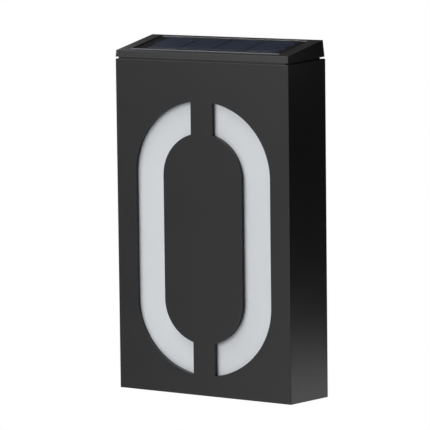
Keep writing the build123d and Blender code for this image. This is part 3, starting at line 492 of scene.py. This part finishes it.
# ---------------------------------------------------------------------------------------------
# Back cover: a flat black moulding with a matt grain, and the round marks that the ejector pins of
# its mould leave in rows.
mark_pitch = 0.028
mark_radius = 0.0026
mark_rim = (0.93, 1.05)  # a mark's step lies between these shares of its radius
mark_depth = 0.00012
back_black = finish(
    "back_cover", (0.030, 0.030, 0.033), rough=0.58, grain=0.45, depth=0.02, cloud=20.0,
    uneven=0.10, rub_and_highlight=0.4, rub_and_highlight_colour=(0.09, 0.09, 0.10), dust=0.03,
)
tree = back_black.node_tree
surface_normal = tree.nodes["Principled BSDF"].inputs["Normal"]
cell = {0: own_place(tree), 1: (mark_pitch, mark_pitch, mark_pitch), 2: (0.0, 0.0, 0.0)}
repeated = add_node(tree, "ShaderNodeVectorMath", cell, operation="WRAP")
to_middle = {0: repeated.outputs["Vector"], 1: (mark_pitch / 2, 0.0, mark_pitch / 2)}
centred = add_node(tree, "ShaderNodeVectorMath", to_middle, operation="SUBTRACT")
reach = reach_along(tree, centred.outputs["Vector"], (1.0, 0.0, 1.0))
mark = ramp(tree, reach, *(share * mark_radius for share in mark_rim))
under = surface_normal.links[0].from_socket
marks = add_node(tree, "ShaderNodeBump", {"Height": mark, "Distance": mark_depth, "Normal": under})
tree.links.new(marks.outputs["Normal"], surface_normal)
dress(back_black, "back_cover")


# ---------------------------------------------------------------------------------------------
# Seal: soft black rubber under the back cover, which picks up lint.
seal = finish(
    "seal", (0.016, 0.016, 0.017), rough=0.72, grain=0.3, depth=0.01, cloud=5.0, uneven=0.15,
    dust=0.06,
)
dress(seal, "back_cover_seal")


# ---------------------------------------------------------------------------------------------
# Hanger rail and wall plate: folded steel with a black powder coat, whose orange peel is a few
# millimetres wide. The coat is worn to the zinc on the edges that slide over each other.
worn_zinc = (0.30, 0.30, 0.29)
rail_black = finish(
    "black_steel", (0.030, 0.030, 0.032), rough=0.40, grain=1.6, depth=0.02, cloud=9.0, uneven=0.08,
    rub_and_highlight=0.8, rub_and_highlight_colour=worn_zinc,
)
dress(rail_black, "hanger_rail")
plate_black = finish(
    "plate_steel", (0.034, 0.034, 0.037), rough=0.42, grain=1.7, depth=0.02, cloud=10.0,
    uneven=0.08, rub_and_highlight=0.8, rub_and_highlight_colour=worn_zinc,
)
dress(plate_black, "wall_plate")


# ---------------------------------------------------------------------------------------------
# Rivets: plain aluminium blind rivets through the rail and the back cover.
aluminium = finish(
    "rivet", (0.66, 0.66, 0.67), rough=0.38, grain=0.2, depth=0.002, cloud=1.2, uneven=0.08,
    fixed=metal,
)
dress(aluminium, "rail_rivets")


# ---------------------------------------------------------------------------------------------
# Wall bumpers: two round rubber pads that keep the foot of the sign off the wall.
bumper = finish(
    "bumper", (0.024, 0.024, 0.024), rough=0.78, grain=0.4, depth=0.015, cloud=4.0, uneven=0.15,
    dust=0.05,
)
dress(bumper, "wall_bumpers")


# ---------------------------------------------------------------------------------------------
# Power button: a dark silicone cap, finely matt, with the usual on and off mark printed on its
# underside in pale grey: an open ring with a short stroke in the opening.
push_low, push_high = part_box("switch_button")
push_middle = (push_low + push_high) / 2
print_ring = 0.0013
print_line = 0.0002  # half the width of a printed line
print_gap = 0.0006  # half the width of the ring's opening
print_grey = (0.52, 0.53, 0.54)
button = finish(
    "button", (0.045, 0.045, 0.047), rough=0.62, grain=0.25, depth=0.006, cloud=3.0, uneven=0.08,
)
tree = button.node_tree
to_middle = {0: own_place(tree), 1: (push_middle.x, push_middle.y, 0.0)}
centred = add_node(tree, "ShaderNodeVectorMath", to_middle, operation="SUBTRACT").outputs["Vector"]
reach = reach_along(tree, centred, (1.0, 1.0, 0.0))
place = axes(tree, centred)
across = number(tree, "ABSOLUTE", place["X"])
toward_front = number(tree, "LESS_THAN", place["Y"], 0.0)
off_ring = number(tree, "ABSOLUTE", number(tree, "SUBTRACT", reach, print_ring))
on_ring = number(tree, "LESS_THAN", off_ring, print_line)
opening = number(tree, "MULTIPLY", number(tree, "LESS_THAN", across, print_gap), toward_front)
stroke = number(tree, "MULTIPLY", number(tree, "LESS_THAN", across, print_line), toward_front)
stroke_reach = number(tree, "LESS_THAN", reach, print_ring + 2 * print_line)
ring_part = number(tree, "MULTIPLY", on_ring, number(tree, "SUBTRACT", 1.0, opening))
stroke_part = number(tree, "MULTIPLY", stroke, stroke_reach)
paint(button, number(tree, "MAXIMUM", ring_part, stroke_part), print_grey)
dress(button, "switch_button")


# ---------------------------------------------------------------------------------------------
# Battery: a rechargeable cell in a green shrink sleeve with a plain pale band near its plus end.
# The sleeve stops short of the ends, which are bare nickelled steel.
cell_low, cell_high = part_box("battery")
cell_radius = (cell_high.z - cell_low.z) / 2
axis_y = (cell_low.y + cell_high.y) / 2
axis_z = (cell_low.z + cell_high.z) / 2
band_start = cell_high.x - 0.0125
band_end = cell_high.x - 0.0085
bare_share = 0.84  # share of the radius inside the sleeve's turned-in edge
band_pale = (0.62, 0.64, 0.60)
nickel = (0.62, 0.62, 0.60)
sleeve = finish(
    "battery_wrap", (0.060, 0.22, 0.10), rough=0.24, grain=0.6, depth=0.004, cloud=6.0, uneven=0.05,
)
tree = sleeve.node_tree
where = own_place(tree)
place = axes(tree, where)
after = number(tree, "GREATER_THAN", place["X"], band_start)
before = number(tree, "LESS_THAN", place["X"], band_end)
paint(sleeve, number(tree, "MULTIPLY", after, before), band_pale)
to_axis = {0: where, 1: (0.0, axis_y, axis_z)}
centred = add_node(tree, "ShaderNodeVectorMath", to_axis, operation="SUBTRACT")
reach = reach_along(tree, centred.outputs["Vector"], (0.0, 1.0, 1.0))
bare = number(tree, "LESS_THAN", reach, cell_radius * bare_share)
paint(sleeve, bare, nickel)
tree.links.new(bare, tree.nodes["Principled BSDF"].inputs["Metallic"])
dress(sleeve, "battery")


# ---------------------------------------------------------------------------------------------
# Battery contacts: nickelled spring steel sheet.
spring_steel = finish(
    "spring_steel", (0.66, 0.65, 0.62), rough=0.28, grain=0.25, depth=0.002, cloud=2.5, uneven=0.08,
    fixed=metal,
)
dress(spring_steel, "battery_contacts")


# ---------------------------------------------------------------------------------------------
# Control board: green solder mask with copper tracks under it, and black component bodies on it.
track_scale = 420.0
track_rim = (0.40, 0.46)
track_green = (0.045, 0.20, 0.085)
control_green = finish(
    "control_board", (0.020, 0.13, 0.055), rough=0.28, grain=0.3, depth=0.002, cloud=3.0,
    uneven=0.06,
)
tree = control_green.node_tree
tracks = add_node(
    tree, "ShaderNodeTexVoronoi", {"Vector": own_place(tree), "Scale": track_scale},
    distance="MANHATTAN", feature="F1",
)
paint(control_green, ramp(tree, tracks.outputs["Distance"], *track_rim), track_green)
dress(control_green, "control_board")
component = finish(
    "component", (0.025, 0.025, 0.027), rough=0.48, grain=0.2, depth=0.004, cloud=1.5, uneven=0.12,
)
dress(component, "board_components")


# ---------------------------------------------------------------------------------------------
# Solar panel: dark backing sheet, four deep blue cells with fine conductor lines across them, two
# tinned tabs, and a clear cast cover on top.
finger_pitch = 0.0011
finger_edge = 0.93  # a line starts at this share of the pitch
finger_show = 0.35
finger_grey = (0.22, 0.23, 0.26)
backing = finish(
    "substrate", (0.006, 0.006, 0.010), rough=0.5, grain=0.4, depth=0.004, cloud=6.0, uneven=0.12,
    fixed={"Specular IOR Level": 0.12},
)
dress(backing, "solar_substrate")
silicon = finish(
    "cell", (0.060, 0.084, 0.158), rough=0.30, grain=0.5, depth=0.002, cloud=7.0, uneven=0.16,
    fixed={"Specular IOR Level": 0.3},
)
tree = silicon.node_tree
place = axes(tree, own_place(tree))
across = number(tree, "PINGPONG", place["Y"], finger_pitch)
finger = ramp(tree, across, finger_pitch * finger_edge, finger_pitch, 0.0, finger_show)
paint(silicon, finger, finger_grey)
dress(silicon, "solar_cells")
tinned = finish(
    "tinned", (0.70, 0.70, 0.69), rough=0.34, grain=0.3, depth=0.004, cloud=0.8, uneven=0.12,
    fixed=metal,
)
dress(tinned, "solar_tabs")
clear = finish(
    "clear_cover", (0.93, 0.95, 0.97), rough=0.10, grain=2.5, depth=0.0015, cloud=14.0, uneven=0.01,
    fixed={"Transmission Weight": 1.0, "IOR": 1.46},
)
dress(clear, "solar_cover")


# ---------------------------------------------------------------------------------------------
# Panel bead: a rounded bead along the panel's front edge, where water would gather. It closes the
# seam between the clear cover and the frame, and stands 0.75 mm proud. Its pale bluish grey is a
# painted highlight: it stands in for the bright line that light catches along this edge.
bead_radius = 0.0007
bead_rise = 0.00005  # its axis above the clear cover
bead_reach = 0.0006  # and in front of the cover's edge
bead_end_gap = 0.0006
bead_sides = 24
bead_rings = 60
bead_waver = 0.00003  # it is laid by hand, so its surface isn't quite even
bead_seed = 4
smooth_below = radians(40)
cover_sheet = 0.0007
lid_low, lid_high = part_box("solar_cover")
lid_normal = max(parts["solar_cover"].data.polygons, key=lambda face: face.area).normal
head_tilt = atan2(abs(lid_normal.y), abs(lid_normal.z))

bpy.ops.object.select_all(action="DESELECT")
bpy.ops.mesh.primitive_cylinder_add(
    vertices=bead_sides, radius=bead_radius, depth=lid_high.x - lid_low.x - 2 * bead_end_gap,
    rotation=(0, pi / 2, 0),
)
bead = bpy.context.object
bead.name = "panel_bead"
bpy.ops.object.transform_apply(location=False, rotation=True)
bpy.ops.object.mode_set(mode="EDIT")
bpy.ops.mesh.select_all(action="SELECT")
bpy.ops.mesh.bisect(
    plane_co=(0, 0, -bead_rise), plane_no=(0, 0, 1), use_fill=True, clear_inner=True,
)
bpy.ops.mesh.select_mode(type="EDGE")
bpy.ops.mesh.select_all(action="DESELECT")
bpy.ops.object.mode_set(mode="OBJECT")
for edge in bead.data.edges:
    first, second = (bead.data.vertices[i].co for i in edge.vertices)
    edge.select = abs(first.x - second.x) > bead_radius
bpy.ops.object.mode_set(mode="EDIT")
bpy.ops.mesh.subdivide_edgering(number_cuts=bead_rings, interpolation="LINEAR")
bpy.ops.mesh.select_all(action="SELECT")
bpy.ops.transform.vertex_random(offset=bead_waver, normal=1.0, seed=bead_seed)
bpy.ops.mesh.normals_make_consistent(inside=False)
bpy.ops.mesh.select_mode(type="VERT")
bpy.ops.object.mode_set(mode="OBJECT")
bpy.ops.object.shade_smooth_by_angle(angle=smooth_below)
bead.rotation_euler = (head_tilt, 0, 0)
outward = Vector((0, -sin(head_tilt), cos(head_tilt)))
forward = Vector((0, -cos(head_tilt), -sin(head_tilt)))
lid_edge = Vector((0, lid_low.y, lid_low.z + cover_sheet * cos(head_tilt)))
bead.location = lid_edge + outward * bead_rise + forward * bead_reach
bpy.ops.object.transform_apply(location=True, rotation=True)
# The bead's pale bluish grey is a painted highlight along the panel's front edge.
bead_highlight_paint = finish(
    "bead_painted_highlight", (0.105, 0.116, 0.140), rough=0.40, grain=0.3, depth=0.003, cloud=5.0,
    uneven=0.15,
)
bead.data.materials.append(bead_highlight_paint)
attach(bead, "solar_head")
